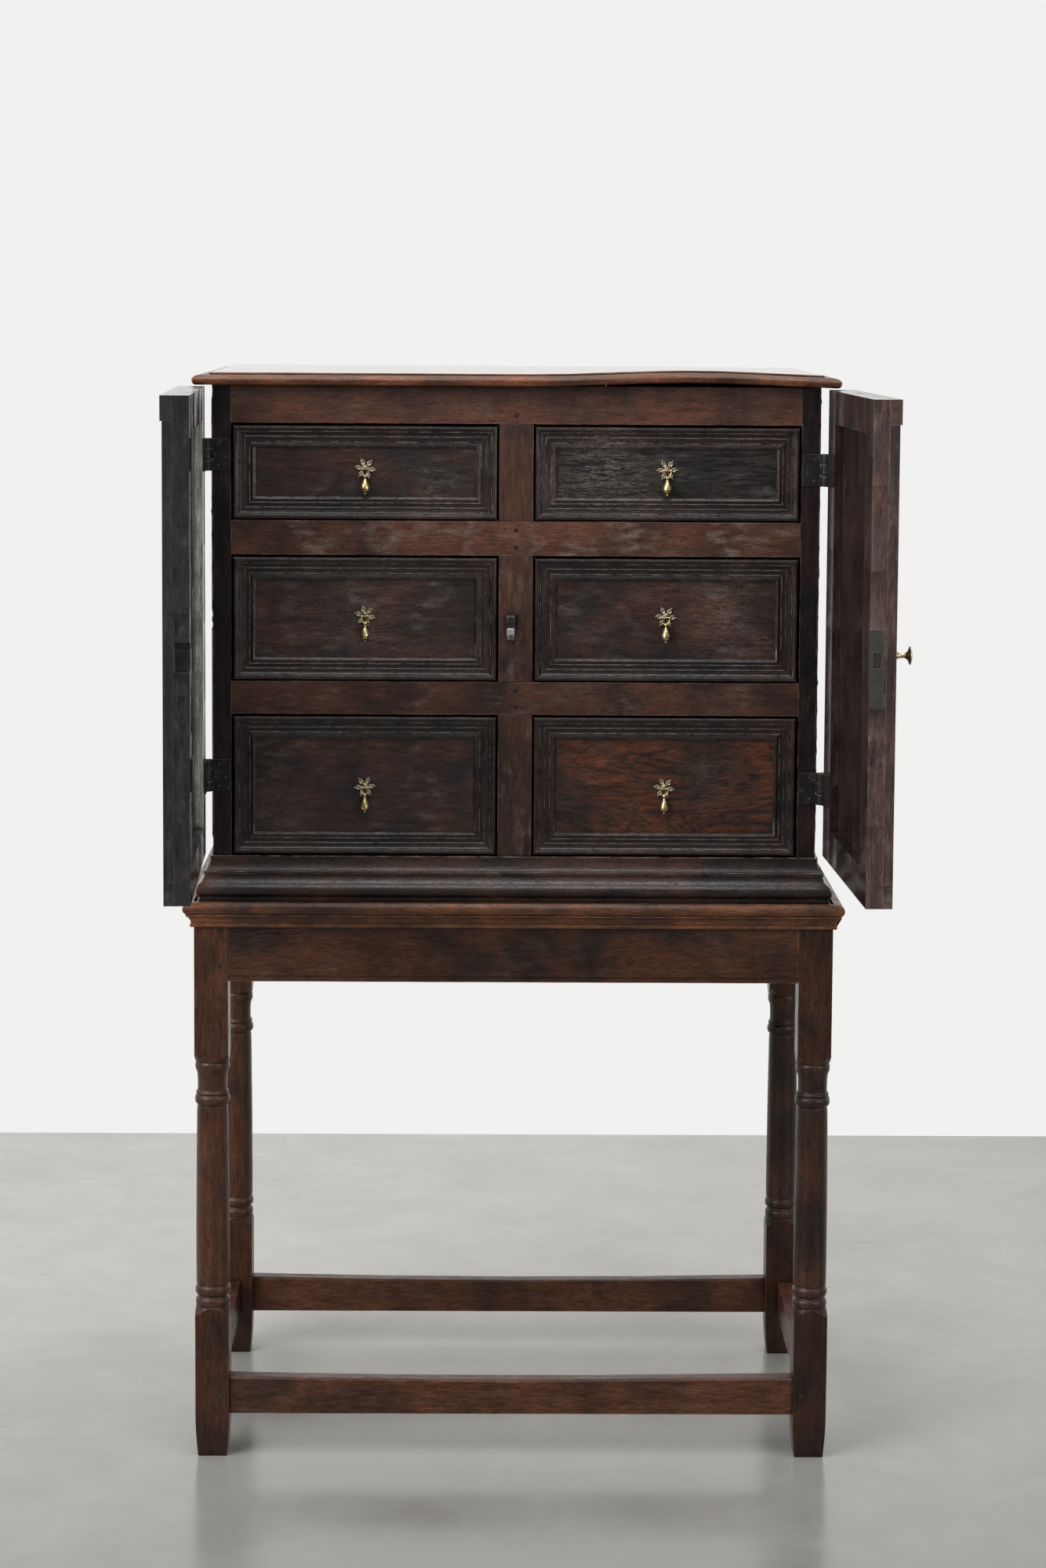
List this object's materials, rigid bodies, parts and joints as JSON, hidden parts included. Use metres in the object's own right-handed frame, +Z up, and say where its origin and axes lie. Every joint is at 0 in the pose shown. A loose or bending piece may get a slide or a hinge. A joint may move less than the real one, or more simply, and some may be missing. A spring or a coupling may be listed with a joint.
{
  "type": "cabinet on stand",
  "caption": "Case of drawers behind hinged doors, with mitred mouldings, seated in the moulded rim of an open stand with turned legs and low stretchers.",
  "frame": {"origin": "on the floor, under the middle of the stand", "axes": "+X to the right and +Z up as seen from the front, where the doors open; +Y from the front to the back"},
  "size_m": [0.9002, 0.8679, 1.4257],
  "materials": {
    "oak_stand": "dark waxed oak with worn edges",
    "oak_case": "dark waxed oak with a grey bloom",
    "oak_doors": "dark waxed oak",
    "oak_drawers": "dark waxed oak, cracked and rubbed",
    "oak_top": "lighter red-brown waxed oak",
    "oak_inside": "bare oak, dry and dusty",
    "oak_pegs": "end grain, darkened",
    "iron": "forged iron with brown rust",
    "steel_lock": "worn iron plate, rubbed bright",
    "brass": "aged cast brass"
  },
  "bodies": {
    "case_and_stand": {"base_moulding": "oak_case", "case_back_boards": "oak_inside", "case_bottom_and_partition": "oak_inside", "case_hinge_leaves_and_pins": "iron", "case_muntins": "oak_case", "case_rails": "oak_case", "case_side_left": "oak_case", "case_side_right": "oak_case", "case_stiles": "oak_case", "door_catch": "iron", "drawer_runners": "oak_inside", "oak_pegs": "oak_pegs", "stand_leg_back_left": "oak_stand", "stand_leg_back_right": "oak_stand", "stand_leg_front_left": "oak_stand", "stand_leg_front_right": "oak_stand", "stand_rail_back": "oak_stand", "stand_rail_front": "oak_stand", "stand_rail_sides": "oak_stand", "stand_stretcher_back": "oak_stand", "stand_stretcher_front": "oak_stand", "stand_stretcher_sides": "oak_stand", "stand_top_moulding": "oak_stand", "top_boards": "oak_top", "top_moulding": "oak_top"},
    "door_left": {"door_left_frame": "oak_doors", "door_left_hinge_leaves": "iron", "door_left_mouldings": "oak_doors", "door_left_panel": "oak_doors"},
    "door_right": {"door_right_frame": "oak_doors", "door_right_hinge_leaves": "iron", "door_right_knob": "brass", "door_right_lock": "steel_lock", "door_right_mouldings": "oak_doors", "door_right_panel": "oak_doors"},
    "lock_bolt": {"door_right_bolt": "steel_lock"},
    "drawer_1": {"drawer_1_front": "oak_drawers", "drawer_1_box": "oak_inside", "drawer_1_handle": "brass"},
    "drop_1": {"drawer_1_drop": "brass"},
    "drawer_2": {"drawer_2_front": "oak_drawers", "drawer_2_box": "oak_inside", "drawer_2_handle": "brass"},
    "drop_2": {"drawer_2_drop": "brass"},
    "drawer_3": {"drawer_3_front": "oak_drawers", "drawer_3_box": "oak_inside", "drawer_3_handle": "brass"},
    "drop_3": {"drawer_3_drop": "brass"},
    "drawer_4": {"drawer_4_front": "oak_drawers", "drawer_4_box": "oak_inside", "drawer_4_handle": "brass"},
    "drop_4": {"drawer_4_drop": "brass"},
    "drawer_5": {"drawer_5_front": "oak_drawers", "drawer_5_box": "oak_inside", "drawer_5_handle": "brass"},
    "drop_5": {"drawer_5_drop": "brass"},
    "drawer_6": {"drawer_6_front": "oak_drawers", "drawer_6_box": "oak_inside", "drawer_6_handle": "brass"},
    "drop_6": {"drawer_6_drop": "brass"}
  },
  "joints": [
    {"name": "door_left_hinge", "type": "hinge", "parent": "case_and_stand", "child": "door_left", "pos_m": [-0.3975, -0.2229, 1.1], "axis": [0, 0, -1], "range_deg": [-88, 87]},
    {"name": "door_right_hinge", "type": "hinge", "parent": "case_and_stand", "child": "door_right", "pos_m": [0.3975, -0.2229, 1.1], "axis": [0, 0, 1], "range_deg": [-92, 83]},
    {"name": "lock_bolt_slide", "type": "slide", "parent": "door_right", "child": "lock_bolt", "axis": [0.0349, -0.9994, 0], "range_m": [0, 0.009]},
    {"name": "drawer_1_slide", "type": "slide", "parent": "case_and_stand", "child": "drawer_1", "axis": [0, -1, 0], "range_m": [0, 0.33]},
    {"name": "drop_1_swing", "type": "hinge", "parent": "drawer_1", "child": "drop_1", "pos_m": [-0.19425, -0.2224, 1.29701], "axis": [-1, 0, 0], "range_deg": [0, 80]},
    {"name": "drawer_2_slide", "type": "slide", "parent": "case_and_stand", "child": "drawer_2", "axis": [0, -1, 0], "range_m": [0, 0.33]},
    {"name": "drop_2_swing", "type": "hinge", "parent": "drawer_2", "child": "drop_2", "pos_m": [0.19425, -0.2224, 1.29701], "axis": [-1, 0, 0], "range_deg": [0, 80]},
    {"name": "drawer_3_slide", "type": "slide", "parent": "case_and_stand", "child": "drawer_3", "axis": [0, -1, 0], "range_m": [0, 0.33]},
    {"name": "drop_3_swing", "type": "hinge", "parent": "drawer_3", "child": "drop_3", "pos_m": [-0.19425, -0.2224, 1.10728], "axis": [-1, 0, 0], "range_deg": [0, 80]},
    {"name": "drawer_4_slide", "type": "slide", "parent": "case_and_stand", "child": "drawer_4", "axis": [0, -1, 0], "range_m": [0, 0.33]},
    {"name": "drop_4_swing", "type": "hinge", "parent": "drawer_4", "child": "drop_4", "pos_m": [0.19425, -0.2224, 1.10728], "axis": [-1, 0, 0], "range_deg": [0, 80]},
    {"name": "drawer_5_slide", "type": "slide", "parent": "case_and_stand", "child": "drawer_5", "axis": [0, -1, 0], "range_m": [0, 0.33]},
    {"name": "drop_5_swing", "type": "hinge", "parent": "drawer_5", "child": "drop_5", "pos_m": [-0.19425, -0.2224, 0.88436], "axis": [-1, 0, 0], "range_deg": [0, 80]},
    {"name": "drawer_6_slide", "type": "slide", "parent": "case_and_stand", "child": "drawer_6", "axis": [0, -1, 0], "range_m": [0, 0.33]},
    {"name": "drop_6_swing", "type": "hinge", "parent": "drawer_6", "child": "drop_6", "pos_m": [0.19425, -0.2224, 0.88436], "axis": [-1, 0, 0], "range_deg": [0, 80]}
  ]
}
